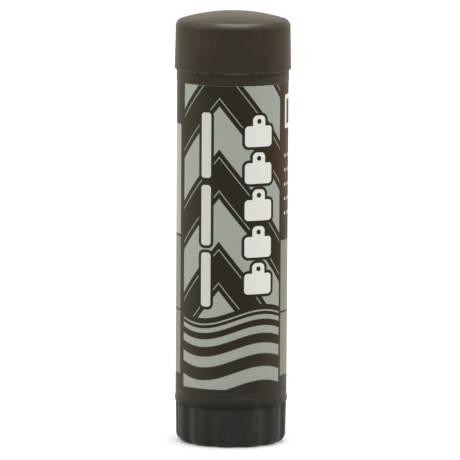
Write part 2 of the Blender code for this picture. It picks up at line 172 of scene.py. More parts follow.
def soften(piece, rings, width, segments=6):
    """Bevel the round edges at the given (radius, height) places."""
    for ring_radius, ring_height in rings:
        found = pick(
            piece, lambda r, h, a: abs(r - ring_radius) < NEAR and abs(h - ring_height) < NEAR
        )
        bpy.context.tool_settings.mesh_select_mode = (False, True, False)
        bpy.ops.mesh.bevel(offset=width * MM, segments=segments, affect="EDGES")
        bpy.ops.object.mode_set(mode="OBJECT")
        print("%s: ring at %.2f, %.2f softened, %d points" % (piece.name, ring_radius, ring_height, found))


def press(piece, angles, factor, test):
    """Scale towards the axis the points that stand at one of the angles and pass the test."""

    def stands(r, h, a):
        return test(r, h) and any(abs(math.remainder(a - c, math.tau)) < COLUMN / 2 for c in angles)

    found = pick(piece, stands)
    bpy.context.tool_settings.mesh_select_mode = (True, False, False)
    bpy.ops.transform.resize(value=(factor, factor, 1), center_override=(0, 0, 0))
    bpy.ops.object.mode_set(mode="OBJECT")
    return found


def smooth(piece):
    """Shade a piece smooth, but for its sharp corners, and say how large its mesh is."""
    activate(piece)
    bpy.ops.object.shade_smooth_by_angle(angle=SHARP)
    print("%s: %d vertices, %d faces" % (piece.name, len(piece.data.vertices), len(piece.data.polygons)))


print("columns stand %.0f degree apart" % math.degrees(COLUMN))

# %% [markdown]
# ## The cap
# The cap is a thin moulding with a shallow dome, a rounded rim and sides that open a little towards the
# mouth, so that it leaves its mould. It could be a cylinder with a scaled sphere on top, but then the rim
# would be guesswork. Turning the whole section, inside and out, gives a true wall, and the bevels come last.

# %% Fits from the bore outwards
NECK_WALL = 0.9
BEAD_RISE = 0.15
SNAP_DEPTH = 0.25
SNAP_ABOVE_MOUTH = 2.7
SNAP_WIDTH = 1.4

BORE = wax_radius + PLAY
NECK = BORE + NECK_WALL
NECK_BEAD = NECK + BEAD_RISE
CAP_BORE = NECK + PLAY
SNAP_GROOVE = CAP_BORE + SNAP_DEPTH
COLLAR_TOP = cap_foot - SEAT
SNAP_HEIGHT = cap_foot + SNAP_ABOVE_MOUTH
print("bore %.2f, neck %.2f, cap bore %.2f mm" % (BORE, NECK, CAP_BORE))

# %% The curve of the dome
DOME_RADIUS = 53.0
DOME_STEPS = 12
CEILING_STEPS = 8
CAP_DRAFT = 0.33
CAP_TOP_WALL = 1.4


def dome(top, bend, edge, steps):
    """Points from the axis down a shallow dome to the radius edge."""
    radii = [edge * i / steps for i in range(steps + 1)]
    return [(r, top - bend + math.sqrt(bend**2 - r**2)) for r in radii]


cap_shoulder = cap_radius - CAP_DRAFT
outside = dome(cap_top, DOME_RADIUS, cap_shoulder, DOME_STEPS)
ceiling = dome(cap_top - CAP_TOP_WALL, DOME_RADIUS - CAP_TOP_WALL, CAP_BORE, CEILING_STEPS)
rim_height = outside[-1][1]
print("the dome rises %.2f mm above the rim" % (cap_top - rim_height))

# %% Turn the cap
cap_bore = [
    (CAP_BORE, cap_foot),
    (CAP_BORE, SNAP_HEIGHT - SNAP_WIDTH),
    (SNAP_GROOVE, SNAP_HEIGHT - SNAP_WIDTH / 2),
    (SNAP_GROOVE, SNAP_HEIGHT + SNAP_WIDTH / 2),
    (CAP_BORE, SNAP_HEIGHT + SNAP_WIDTH),
]
cap = lathe("cap_shell", outside + [(cap_radius, cap_foot)] + cap_bore + ceiling[::-1])
print("cap turned from %d points" % (len(outside) + 1 + len(cap_bore) + len(ceiling)))

# %% [markdown]
# A bevel's width is measured along the two faces from their corner, so the rim's fillet radius is divided
# by the tangent of half the corner's angle. The dome slopes at its edge, and that opens the corner a little.

# %% Round the cap's edges
RIM_FILLET = 2.0
MOUTH_FILLET = 0.35

rim_half_angle = math.pi / 4 + math.asin(cap_shoulder / DOME_RADIUS) / 2
soften(cap, [outside[-1]], RIM_FILLET / math.tan(rim_half_angle), segments=12)
soften(cap, [(cap_radius, cap_foot)], MOUTH_FILLET)
soften(cap, [(CAP_BORE, cap_foot)], MOUTH_FILLET / 2, segments=3)
smooth(cap)

# %% [markdown]
# ## The barrel
# The barrel is a straight tube with a plain collar at the top, a shallow recess that keeps the label's
# edges from being rubbed, and a band at the foot that flares out a little over the knob and rounds in
# under itself. Above the collar stands the thin neck that the cap snaps on to. The drawing runs from the
# neck down the outside and back up the bore.

# %% Measures of the barrel's outside
FILM = 0.12
GLUE = 0.06
FILM_END_GAP = 0.08
COLLAR_RISE = 0.11
PLAIN_BAND = 2.2
FLARE_HEIGHT = 1.3

COLLAR = film_radius + COLLAR_RISE
RECESS = film_radius - FILM - GLUE
RECESS_TOP = film_top + FILM_END_GAP
RECESS_FOOT = film_foot - FILM_END_GAP
FLARE_TOP = RECESS_FOOT - PLAIN_BAND
FLARE_FOOT = FLARE_TOP - FLARE_HEIGHT
print("collar %.2f, recess %.2f, band %.2f mm" % (COLLAR, RECESS, band_radius))

# %% Measures of the barrel's inside
LIP_RISE = 0.65
LIP_BELOW_TOP = 1.05
LIP_HEIGHT = 1.6
GUIDE_ABOVE_SLEEVE = 1.0
GUIDE_BELOW_TOP = 6.0
GUIDE_SLOPE = 0.4

SLEEVE = BORE - PLAY
LIP = SLEEVE + LIP_RISE
LIP_TOP = sleeve_top - LIP_BELOW_TOP
LIP_GROOVE = LIP + PLAY
LIP_GROOVE_TOP = LIP_TOP + PLAY
LIP_GROOVE_FOOT = LIP_TOP - LIP_HEIGHT - PLAY
GUIDE_FOOT = sleeve_top + GUIDE_ABOVE_SLEEVE
GUIDE_TOP = barrel_top - GUIDE_BELOW_TOP
print("guides from %.2f to %.2f mm" % (GUIDE_FOOT, GUIDE_TOP))

# %% The tuck under the foot band
TUCK = 0.45
TUCK_HEIGHT = 1.1
TUCK_STEPS = 10

tuck_angles = [math.pi / 2 * i / TUCK_STEPS for i in range(TUCK_STEPS + 1)]
tuck = [
    (band_radius - TUCK * (1 - math.cos(a)), barrel_foot + TUCK_HEIGHT * (1 - math.sin(a)))
    for a in tuck_angles
]
print("the tuck takes in %.2f mm over %d points" % (TUCK, len(tuck)))

# %% Turn the barrel
barrel_drawing = [
    (NECK, barrel_top),
    (NECK, SNAP_HEIGHT + SNAP_WIDTH / 2),
    (NECK_BEAD, SNAP_HEIGHT + SNAP_WIDTH / 6),
    (NECK_BEAD, SNAP_HEIGHT - SNAP_WIDTH / 6),
    (NECK, SNAP_HEIGHT - SNAP_WIDTH / 2),
    (NECK, COLLAR_TOP),
    (COLLAR, COLLAR_TOP),
    (COLLAR, RECESS_TOP),
    (RECESS, RECESS_TOP),
    (RECESS, RECESS_FOOT),
    (film_radius, RECESS_FOOT),
    (film_radius, FLARE_TOP),
    (band_radius, FLARE_FOOT),
    *tuck,
    (BORE, barrel_foot),
    (BORE, LIP_GROOVE_FOOT),
    (LIP_GROOVE, LIP_GROOVE_FOOT),
    (LIP_GROOVE, LIP_GROOVE_TOP),
    (BORE, LIP_GROOVE_TOP + LIP_GROOVE - BORE),
    (BORE, GUIDE_FOOT),
    (BORE, GUIDE_FOOT + GUIDE_SLOPE),
    (BORE, GUIDE_TOP - GUIDE_SLOPE),
    (BORE, GUIDE_TOP),
    (BORE, barrel_top),
    (NECK, barrel_top),
]
barrel = lathe("barrel_shell", barrel_drawing)
print("barrel turned from %d points" % len(barrel_drawing))

# %% [markdown]
# A moulding has no knife edges. On the real stick the collar and the recess are nearly crisp, and the flare
# blends softly into the tube, so each ring of edges gets a bevel of its own size.

# %% Round the barrel's edges
NECK_FILLET = 0.3
COLLAR_FILLET = 0.1
RECESS_EDGE = 0.05
FLARE_TOP_BLEND = 0.4
FLARE_FOOT_BLEND = 0.15

soften(barrel, [(NECK, barrel_top), (BORE, barrel_top)], NECK_FILLET, segments=3)
soften(barrel, [(COLLAR, COLLAR_TOP)], COLLAR_FILLET)
soften(barrel, [(COLLAR, RECESS_TOP), (film_radius, RECESS_FOOT)], RECESS_EDGE, segments=3)
soften(barrel, [(film_radius, FLARE_TOP)], FLARE_TOP_BLEND, segments=4)
soften(barrel, [(band_radius, FLARE_FOOT)], FLARE_FOOT_BLEND, segments=3)

# %% [markdown]
# Three slim ribs inside the bore keep the wax from turning with the knob. Five neighbouring columns of the
# bore are pressed inwards for each, between the two rings that mark the sloped ends of the ribs.

# %% Press the guide ribs into the bore
GUIDES = 3
GUIDE_RISE = 0.6
GUIDE_COLUMNS = 2


def by_the_guides(columns):
    """Angles of the columns on either side of the middle of each guide."""
    middles = [math.tau * k / GUIDES for k in range(GUIDES)]
    return [middle + COLUMN * i for middle in middles for i in range(-columns, columns + 1)]


moved = press(
    barrel,
    by_the_guides(GUIDE_COLUMNS),
    1 - GUIDE_RISE / BORE,
    lambda r, h: abs(r - BORE) < NEAR and GUIDE_FOOT + NEAR < h < GUIDE_TOP - NEAR,
)
print("guide ribs:", moved, "points moved")
smooth(barrel)

# %% [markdown]
# ## The wrap label
# The label is one printed film laid round the barrel, with its two ends meeting at the back. A line is
# spun not quite all the way round, and Solidify gives the sheet its thickness, which shows at the seam.

# %% Wrap the film
SEAM = 1.2

film_inside = film_radius - FILM
seam_angle = SEAM / film_inside
label = lathe(
    "wrap_label",
    [(film_inside, film_foot), (film_inside, film_top)],
    sweep=math.tau - seam_angle,
    start=math.pi / 2 - seam_angle / 2,
)
solid = label.modifiers.new("Film", "SOLIDIFY")
solid.thickness = FILM * MM
solid.offset = 1
solid.use_even_offset = True
activate(label)
bpy.ops.object.modifier_apply(modifier=solid.name)
smooth(label)
print("film reaches %.3f mm" % max(place(vertex)[0] for vertex in label.data.vertices))

# %% [markdown]
# ## The twist knob
# The knob is the stick's foot. Below the joint it is a short drum with a well rounded lower corner and
# twelve shallow flutes for the fingers. Above, hidden in the barrel, a sleeve with a snap lip holds it.
# The underside is recessed, so that the stick stands on a ring and doesn't rock, and a small dimple in it
# is where the plastic ran into the mould.

# %% Measures of the knob
GRIP_DRAFT = 0.2
FOOT_RECESS = 10.5
FOOT_RECESS_DEPTH = 0.5
GATE_DIMPLE = 1.6
GATE_DEPTH = 0.2
FLOOR_TOP = 1.8
HUB = 5.8
HUB_TOP = 7.8
SLEEVE_WALL = 1.5
FLUTE_TURN = math.radians(9)

GRIP_TOP = barrel_foot - SEAT
GRIP_RADIUS = band_radius - PLAY
GRIP_FOOT_RADIUS = GRIP_RADIUS - GRIP_DRAFT
SLEEVE_INSIDE = SLEEVE - SLEEVE_WALL
FLUTE_PHASE = FLUTE_TURN - math.pi / 2
print("grip %.2f mm in radius, %.2f mm tall" % (GRIP_RADIUS, GRIP_TOP))

# %% Turn the knob
GRIP_CORNER = 2.6
GRIP_EDGE = 0.25
FOOT_EDGE = 0.2

knob_drawing = [
    (0, HUB_TOP),
    (HUB, HUB_TOP),
    (HUB, FLOOR_TOP),
    (SLEEVE_INSIDE, FLOOR_TOP),
    (SLEEVE_INSIDE, sleeve_top),
    (SLEEVE, sleeve_top),
    (SLEEVE, LIP_TOP + LIP - SLEEVE),
    (LIP, LIP_TOP),
    (LIP, LIP_TOP - LIP_HEIGHT / 2),
    (SLEEVE, LIP_TOP - LIP_HEIGHT),
    (SLEEVE, GRIP_TOP),
    (GRIP_RADIUS, GRIP_TOP),
    (GRIP_FOOT_RADIUS, 0),
    (FOOT_RECESS, 0),
    (FOOT_RECESS - FOOT_RECESS_DEPTH, FOOT_RECESS_DEPTH),
    (GATE_DIMPLE, FOOT_RECESS_DEPTH),
    (GATE_DIMPLE - GATE_DEPTH, FOOT_RECESS_DEPTH + GATE_DEPTH),
    (0, FOOT_RECESS_DEPTH + GATE_DEPTH),
]
knob = lathe("twist_knob", knob_drawing, start=FLUTE_PHASE)
soften(knob, [(GRIP_RADIUS, GRIP_TOP)], GRIP_EDGE, segments=4)
soften(knob, [(GRIP_FOOT_RADIUS, 0)], GRIP_CORNER, segments=10)
soften(knob, [(FOOT_RECESS, 0)], FOOT_EDGE, segments=3)

# %% [markdown]
# A flute is the scoop that a round cutter leaves in the drum. At each degree from its middle the scoop's
# depth is worked out, averaged over the neighbouring degrees so that the edges come out softly rounded,
# and the columns at that place in all twelve flutes are pressed in at once. The rounded corner below is
# pressed with them, so that the foot's outline steps a little from flute to flute.

# %% How deep a flute is
FLUTES = 12
FLUTE_WIDTH = 4.8
FLUTE_DEPTH = 0.7
SOFTENING = (-2, -1, 0, 1, 2)
HALF_PITCH = ROUND_STEPS // FLUTES // 2

scoop = FLUTE_WIDTH**2 / (8 * FLUTE_DEPTH) + FLUTE_DEPTH / 2
scoop_centre = GRIP_RADIUS - FLUTE_DEPTH + scoop


def scoop_depth(angle):
    """How deep the cutter goes under the drum's radius, at an angle from the middle of a flute."""
    half_chord = scoop**2 - (scoop_centre * math.sin(angle)) ** 2
    if half_chord <= 0:
        return 0.0
    return max(0.0, GRIP_RADIUS - scoop_centre * math.cos(angle) + math.sqrt(half_chord))


def flute_depth(step):
    """The softened depth, at a number of columns from the middle of a flute."""
    return sum(scoop_depth(COLUMN * (step + i)) for i in SOFTENING) / len(SOFTENING)


print("flute depths:", [round(flute_depth(step), 2) for step in range(HALF_PITCH)])

# %% Press the flutes into the grip
STANDING_RING = FOOT_RECESS + 1.0


def on_grip(r, h):
    """True on the drum and its rounded corner, but not on the sleeve or the foot's recess."""
    if h < GRIP_CORNER:
        return r > STANDING_RING
    return h < GRIP_TOP + NEAR and r > SLEEVE + NEAR


columns_moved = 0
for step in range(HALF_PITCH):
    depth = flute_depth(step)
    if depth == 0:
        break
    angles = {
        FLUTE_PHASE + math.tau * k / FLUTES + side * COLUMN * step for k in range(FLUTES) for side in (-1, 1)
    }
    press(knob, angles, 1 - depth / GRIP_RADIUS, on_grip)
    columns_moved += len(angles)
print("flutes:", columns_moved, "columns pressed")

# %% [markdown]
# Inside the knob six webs stiffen the hub, a hexagon socket takes the spindle, and four saw cuts let the
# sleeve spring in as it snaps home. None of this shows, but a mesh that is printed or cut open should have
# it. Blocks and a prism are the tools, and a Boolean modifier joins them on or takes them away.

# %% Spokes and Booleans
REACH = 0.5


def spokes(count, inner, outer, width, foot, top, phase=0.0):
    """Upright blocks set round the axis, as one object."""
    bpy.ops.object.select_all(action="DESELECT")
    made = []
    for k in range(count):
        angle = phase + math.tau * k / count
        middle = (inner + outer) / 2
        place_at = Vector((middle * math.cos(angle), middle * math.sin(angle), (foot + top) / 2)) * MM
        bpy.ops.mesh.primitive_cube_add(size=MM, location=place_at, rotation=(0, 0, angle))
        bpy.context.object.scale = (outer - inner, width, top - foot)
        made.append(bpy.context.object)
    for block in made:
        block.select_set(True)
    bpy.ops.object.join()
    return bpy.context.object


def combine(piece, helper, operation):
    """Join a helper to a piece or cut it away, and remove the helper."""
    boolean = piece.modifiers.new(operation, "BOOLEAN")
    boolean.operation = operation
    boolean.object = helper
    activate(piece)
    bpy.ops.object.modifier_apply(modifier=boolean.name)
    bpy.data.objects.remove(helper)
    print("%s: %s, %d faces" % (piece.name, operation.lower(), len(piece.data.polygons)))


# %% Webs, socket and spring fingers
WEBS = 6
WEB_THICKNESS = 1.0
WEB_TOP = FLOOR_TOP + 4.5
HEXAGON = 6
SPINDLE_FLATS = 6.4
SOCKET = SPINDLE_FLATS / math.sqrt(3) + PLAY
FINGERS = 4
FINGER_CUT = 1.6
FINGER_DEPTH = 5.6

webs = spokes(WEBS, HUB - REACH, SLEEVE_INSIDE + REACH, WEB_THICKNESS, FLOOR_TOP - REACH, WEB_TOP)
combine(knob, webs, "UNION")
socket_middle = Vector((0, 0, (FLOOR_TOP + HUB_TOP + REACH) / 2)) * MM
bpy.ops.mesh.primitive_cylinder_add(
    vertices=HEXAGON, radius=SOCKET * MM, depth=(HUB_TOP + REACH - FLOOR_TOP) * MM, location=socket_middle
)
combine(knob, bpy.context.object, "DIFFERENCE")
fingers = spokes(
    FINGERS,
    SLEEVE_INSIDE - REACH,
    LIP + REACH,
    FINGER_CUT,
    sleeve_top - FINGER_DEPTH,
    sleeve_top + REACH,
    math.pi / FINGERS,
)
combine(knob, fingers, "DIFFERENCE")
smooth(knob)

# %% [markdown]
# ## The wax
# The crayon itself is cast wax. It stays under the cap at rest and shows when the cap is off. Its head
# is a little dished, because wax shrinks most in the middle as it sets. Three grooves fit the ribs of the
# bore, and slots at the foot are where it was cast round the carrier's fins.

# %% Turn the wax stick
WAX_STEP = 1.3
WAX_BORE = 4.8
WAX_CORNER = 1.2
DISH = 0.5
DISH_STEPS = 8

WAX_NECK = wax_radius - WAX_STEP
WAX_SHOULDER = cup_rim + PLAY
WAX_BORE_END = spindle_top + PLAY
GROOVE_END = GUIDE_TOP + PLAY

dish_shares = [i / DISH_STEPS for i in range(DISH_STEPS)]
dish = [(wax_radius * share, wax_top - DISH * (1 - share**2)) for share in dish_shares]
wax_drawing = dish + [
    (wax_radius, wax_top),
    (wax_radius, GROOVE_END),
    (wax_radius, GROOVE_END - GUIDE_SLOPE),
    (wax_radius, WAX_SHOULDER),
    (WAX_NECK, WAX_SHOULDER),
    (WAX_NECK, wax_foot),
    (WAX_BORE, wax_foot),
    (WAX_BORE, WAX_BORE_END),
    (0, WAX_BORE_END),
]
wax = lathe("wax_stick", wax_drawing)
soften(wax, [(wax_radius, wax_top)], WAX_CORNER, segments=8)

# %% Grooves and fin slots in the wax
GROOVE_COLUMNS = 4
FINS = 4
FIN_CUT = 1.6
FIN_REACH = 11.4
FIN_TOP = wax_foot + 4.5

moved = press(
    wax,
    by_the_guides(GROOVE_COLUMNS),
    1 - GUIDE_RISE / wax_radius,
    lambda r, h: abs(r - wax_radius) < NEAR and WAX_SHOULDER - NEAR < h < GROOVE_END - NEAR,
)
print("wax grooves:", moved, "points moved")
fin_slots = spokes(FINS, WAX_BORE - REACH, FIN_REACH, FIN_CUT, wax_foot - REACH, FIN_TOP, math.pi / FINS)
combine(wax, fin_slots, "DIFFERENCE")
smooth(wax)

# %% [markdown]
# ## Who rides on what
# The CAD model has four moving bodies. Each new piece is tied to one of them and hides the CAD node that it
# stands for. The table also lists the record's material slot for its finish, which is not used.

# %% Tell each piece its body
for piece, body, node, slot in (
    (cap, "cap", "cap", "black_cap"),
    (barrel, "barrel", "barrel", "black_moulding"),
    (label, "barrel", "label", "printed_film"),
    (knob, "knob", "base_knob", "black_knob"),
    (wax, "crayon", "crayon", "black_wax"),
):
    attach(piece, body)
    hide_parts(node)
    print(piece.name, "rides on", body)

# %% [markdown]
# ## Camera
# The photograph was taken from a little above with a long lens, so the sides hardly converge. The camera
# stands nearly two metres off and looks down by about seven degrees, with its own slight tilt. Its place was
# found by laying renders over the photograph until the outlines met.

# %% Place the camera
CAMERA_DISTANCE = 1.9
PITCH = math.radians(7.4)
ROLL = math.radians(0.35)
AIM = Vector((-0.0006, 0, 0.06468))
LENS = 493
SENSOR = 36
FAR_CLIP = 50

camera_data = bpy.data.cameras.new("photo_camera")
camera_data.lens = LENS
camera_data.sensor_width = SENSOR
camera_data.clip_end = FAR_CLIP
camera = bpy.data.objects.new("photo_camera", camera_data)
camera.location = AIM + Vector((0, -CAMERA_DISTANCE, CAMERA_DISTANCE * math.tan(PITCH)))
turn = Matrix.Rotation(math.pi / 2 - PITCH, 3, "X") @ Matrix.Rotation(ROLL, 3, "Z")
camera.rotation_euler = turn.to_euler()
bpy.context.scene.collection.objects.link(camera)
bpy.context.scene.camera = camera
print("camera at", tuple(round(v, 3) for v in camera.location))

# %% [markdown]
# ## Finishes as sums
# A material in Blender is a web of nodes, and most of them are Math nodes. They are easier to read as
# sums, so a small class stands for a socket, and Python's own signs on it add the Math nodes. Every other
# node comes from one method, which takes the node's type, its settings and what goes into its sockets.

# %% A socket that can be reckoned with
class Value:
    """A number, vector or colour that varies from place to place."""

    def __init__(self, web, socket):
        self.web = web
        self.socket = socket

    def math(self, operation, *others):
        return self.web.node("ShaderNodeMath", {"operation": operation}, [self, *others])

    def __add__(self, other):
        return self.math("ADD", other)

    def __mul__(self, other):
        return self.math("MULTIPLY", other)

    def __sub__(self, other):
        return self.math("SUBTRACT", other)

    def __rsub__(self, other):
        return self.web.node("ShaderNodeMath", {"operation": "SUBTRACT"}, [other, self])

    def __truediv__(self, other):
        return self.math("DIVIDE", other)

    def __and__(self, other):
        return self.math("MINIMUM", other)

    def __or__(self, other):
        return self.math("MAXIMUM", other)

    def __abs__(self):
        return self.math("ABSOLUTE")

    __radd__ = __add__
    __rmul__ = __mul__

    def ramp(self, low, high):
        """0 where the value is at low, 1 where it is at high, and never outside."""
        return self.web.node("ShaderNodeMapRange", {}, [self, low, high, 0.0, 1.0])


# %% A web of nodes
class Web:
    """Nodes of a material or of the room's light, put together by sums."""

    def __init__(self, tree):
        self.tree = tree

    def node(self, kind, settings, sockets, output=0):
        made = self.tree.nodes.new(kind)
        for name, value in settings.items():
            setattr(made, name, value)
        for socket, value in sockets.items() if isinstance(sockets, dict) else enumerate(sockets):
            self.feed(made.inputs[socket], value)
        return Value(self, made.outputs[output])

    def feed(self, socket, value):
        if isinstance(value, Value):
            self.tree.links.new(value.socket, socket)
        else:
            socket.default_value = value

    def mix(self, share, first, second):
        """A colour between two, by share."""
        return self.node("ShaderNodeMix", {"data_type": "RGBA"}, {0: share, 6: first, 7: second}, 2)

    def looked_at(self):
        """1 for a ray from the camera or a reflection of one, and 0 for a ray that only carries light."""
        ways = ("Is Camera Ray", "Is Glossy Ray", "Is Transmission Ray")
        camera_ray, glossy, through = (self.node("ShaderNodeLightPath", {}, [], way) for way in ways)
        return camera_ray | glossy | through

    def tally(self, title):
        """Say how many nodes there are so far."""
        print("%s: %d nodes" % (title, len(self.tree.nodes)))


# %% [markdown]
# A finish is the web of a material. It starts from the point on the piece in millimetres, so that every
# size in a pattern is a real one, and it knows the few patterns that every finish here is made of.

# %% A finish
SPECK_BLUR = 0.15


class Finish(Web):
    """A material that is being put together."""

    def __init__(self, name):
        self.material = bpy.data.materials.new(name)
        self.material.use_nodes = True
        super().__init__(self.material.node_tree)
        self.shader = self.tree.nodes["Principled BSDF"]
        metres = self.node("ShaderNodeTexCoord", {}, [], "Object")
        scaling = {"Vector": metres, "Scale": 1 / MM}
        self.point = self.node("ShaderNodeVectorMath", {"operation": "SCALE"}, scaling)
        parts = self.node("ShaderNodeSeparateXYZ", {}, [self.point]).socket.node.outputs
        self.x, self.y, self.z = (Value(self, part) for part in parts)

    def surface(self, **values):
        """Set the shader's own sockets, spelt with _ for a space."""
        for name, value in values.items():
            self.feed(self.shader.inputs[name.replace("_", " ")], value)
        self.tally(self.material.name)

    def noise(self, size, detail=2.0, stretch=(1, 1, 1)):
        """Cloudy noise from 0 to 1 whose blots are about size millimetres across."""
        stretched = self.node("ShaderNodeVectorMath", {"operation": "MULTIPLY"}, [self.point, stretch])
        sockets = {"Vector": stretched, "Scale": 1 / size, "Detail": detail}
        return self.node("ShaderNodeTexNoise", {}, sockets)

    def specks(self, spacing, size):
        """1 on small round specks that lie about spacing millimetres apart."""
        sockets = {"Vector": self.point, "Scale": 1 / spacing}
        away = self.node("ShaderNodeTexVoronoi", {"feature": "F1"}, sockets, "Distance")
        return 1 - (away * spacing).ramp(size * (0.5 - SPECK_BLUR), size * (0.5 + SPECK_BLUR))

    def bump(self, height, depth):
        """A normal from a height of 0 to 1 that stands for depth in millimetres."""
        return self.node("ShaderNodeBump", {}, {"Height": height, "Distance": depth * MM}, "Normal")


def shade(red, green, blue):
    return (red, green, blue, 1.0)


def scaled(colour, share):
    return shade(*(part * share for part in colour))


# %% [markdown]
# ## Black moulded plastic
# Cap, barrel and knob are black polypropylene with the fine dull grain of a sparked mould, a little browner
# towards the cap. What keeps it from looking like paint is small: cloudy tone, a grain finer than a fifth of
# a millimetre, faint sink marks, thin scuffs, and painted shade in the knob's seam. Worn corners are painted
# paler, and the collar's top edge partly as a painted highlight. The thumb that pushes the cap off has
# polished its rim and wipes the front of the dome. The dome is painted paler towards its top, partly with
# dust and partly as a painted reflection, and dust blotches lie behind.

# %% Worn corners, and a painted highlight on the collar's edge
RING_CORE = 0.4
RIM_RING = (cap_shoulder - 0.6, rim_height - 0.22, 1.4)
# Radius, height and reach of each ring in millimetres, and how strongly it is painted paler: wear, and on the
# collar's top edge partly a painted highlight.
WORN_AND_HIGHLIT_RINGS = (
    (*RIM_RING, 0.05),
    (cap_radius - 0.1, cap_foot, 0.45, 0.35),
    (COLLAR, COLLAR_TOP, 0.3, 0.5),
    (NECK, barrel_top, 0.6, 0.3),
    (GRIP_FOOT_RADIUS, 0, 1.6, 0.1),
)


def near_ring(finish, ring_radius, ring_height, reach):
    """1 on a ring round the axis, falling to 0 at reach millimetres from it."""
    radius = (finish.x * finish.x + finish.y * finish.y).math("SQRT")
    out = radius - ring_radius
    above = finish.z - ring_height
    return 1 - (out * out + above * above).math("SQRT").ramp(RING_CORE * reach, reach)


def worn_and_highlit_edges(finish):
    """How far each place is painted paler, in patches along the corners: wear, and on the collar's top edge
    partly a painted highlight.
    """
    rings = [near_ring(finish, *ring) * share for *ring, share in WORN_AND_HIGHLIT_RINGS]
    return reduce(or_, rings) * finish.noise(1.3, 4.0).ramp(0.40, 0.66)


print(len(WORN_AND_HIGHLIT_RINGS), "rubbed rings")

# %% What the thumb does to the cap
WIPED = -8.0
UNWIPED = -2.0
SMEAR_SIZE = 2.4
CROWN_POLISH = 0.17
SMEARED = 0.8
THUMB_FROM = 0.62
THUMB_FULL = 0.99
LEAST_POLISH = 0.12


def on_crown(finish, start, full):
    """0 below start and 1 above full, both in millimetres above the rim."""
    return finish.z.ramp(rim_height + start, rim_height + full)


def unwiped(finish):
    """0 at the front, where the thumb wipes the dust off, and 1 from the middle of the stick backwards."""
    return finish.y.ramp(WIPED, UNWIPED)


def hand_polish(finish):
    """How far the rim is polished, most at the front, and the dome, less where dust smears it."""
    at_front = (finish.y / -cap_radius).ramp(THUMB_FROM, THUMB_FULL) * (1 - LEAST_POLISH) + LEAST_POLISH
    thumbed_rim = near_ring(finish, *RIM_RING) * at_front
    smears = finish.noise(SMEAR_SIZE, 4.0).ramp(0.58, 0.40) * unwiped(finish)
    crown = on_crown(finish, 0.3, 2.0) * (1 - smears * SMEARED) * CROWN_POLISH
    return thumbed_rim | crown


print("the thumb polishes the rim from %.1f mm in front of the middle" % (cap_radius * THUMB_FROM))

# %% Dust with painted reflection, painted seam shade, and scuffs
# How much the dome is painted paler towards its top, partly dust and partly a painted reflection, and its
# dust blotches.
DUST_AND_REFLECTION_SHARE = 0.45
DUST_BLOTCHES = 0.25
# Painted shade in the seam: how far below it and how far above it it reaches, where it is full, and its
# share.
SEAM_SHADE_DEPTH = 0.9
SEAM_SHADE_TOP = 2.6
SEAM_SHADE_FULL = 0.5
SEAM_SHADE_SHARE = 0.8


def dust_and_reflection(finish, patchy):
    """How much the dome is painted paler: dust, and towards its top a painted reflection, with dust blotches
    where nothing wipes it.
    """
    blotches = finish.noise(SMEAR_SIZE, 4.0).ramp(0.40, 0.60) * unwiped(finish)
    return on_crown(finish, 0.2, 2.2) * (patchy * DUST_AND_REFLECTION_SHARE + blotches * DUST_BLOTCHES)


def painted_seam_shade(finish, patchy):
    """How much painted shade darkens the seam between the knob and the barrel."""
    below = finish.z.ramp(GRIP_TOP - SEAM_SHADE_DEPTH, GRIP_TOP)
    above = finish.z.ramp(barrel_foot + SEAM_SHADE_TOP, barrel_foot + SEAM_SHADE_FULL)
    return below * above * patchy * SEAM_SHADE_SHARE


def scuff_marks(finish):
    """Thin scuffs along the stick and round it, in some places only."""
    along = finish.noise(2.4, 4.0, (1, 1, 0.06)).ramp(0.60, 0.70)
    round_about = finish.noise(3.1, 4.0, (0.12, 0.12, 1)).ramp(0.62, 0.72)
    return (along | round_about) * finish.noise(14.0).ramp(0.46, 0.62)


# The seam's painted shade reaches between these two heights.
print("grime from %.1f to %.1f mm" % (GRIP_TOP - SEAM_SHADE_DEPTH, barrel_foot + SEAM_SHADE_TOP))

# %% Colours of the plastic
FOOT_BLACK = (0.0246, 0.0240, 0.0214)
TOP_BLACK = (0.0275, 0.0230, 0.0180)
TONE_SPREAD = 0.12
WARM = shade(1.0, 0.86, 0.60)
# The dome's paler paint: partly dust, partly a painted reflection of the room.
DUST_AND_REFLECTION_TONE = shade(0.080, 0.072, 0.052)
# Painted shade for the seam between the knob and the barrel.
SEAM_SHADE = shade(0.003, 0.003, 0.0025)
# Paler for worn corners, and on the collar's top edge partly a painted highlight.
WORN_AND_HIGHLIT = shade(0.20, 0.188, 0.165)
SCUFFED = shade(0.10, 0.094, 0.082)
SPECK = shade(0.22, 0.205, 0.175)


def moulded_tone(finish, cloud):
    """Cloudy black, browner towards the cap."""
    upper = finish.z.ramp(barrel_foot, COLLAR_TOP)
    dark, pale = (
        finish.mix(upper, scaled(FOOT_BLACK, share), scaled(TOP_BLACK, share))
        for share in (1 - TONE_SPREAD, 1 + TONE_SPREAD)
    )
    return finish.mix(cloud.ramp(0.3, 0.7), dark, pale)


print("black at the foot", FOOT_BLACK, "and at the top", TOP_BLACK)

# %% One plastic for three mouldings
LEAST_PATCH = 0.65
SCUFF_SHARE = 0.14
SPECK_SHARE = 0.35
GRAIN_DEPTH = 0.006


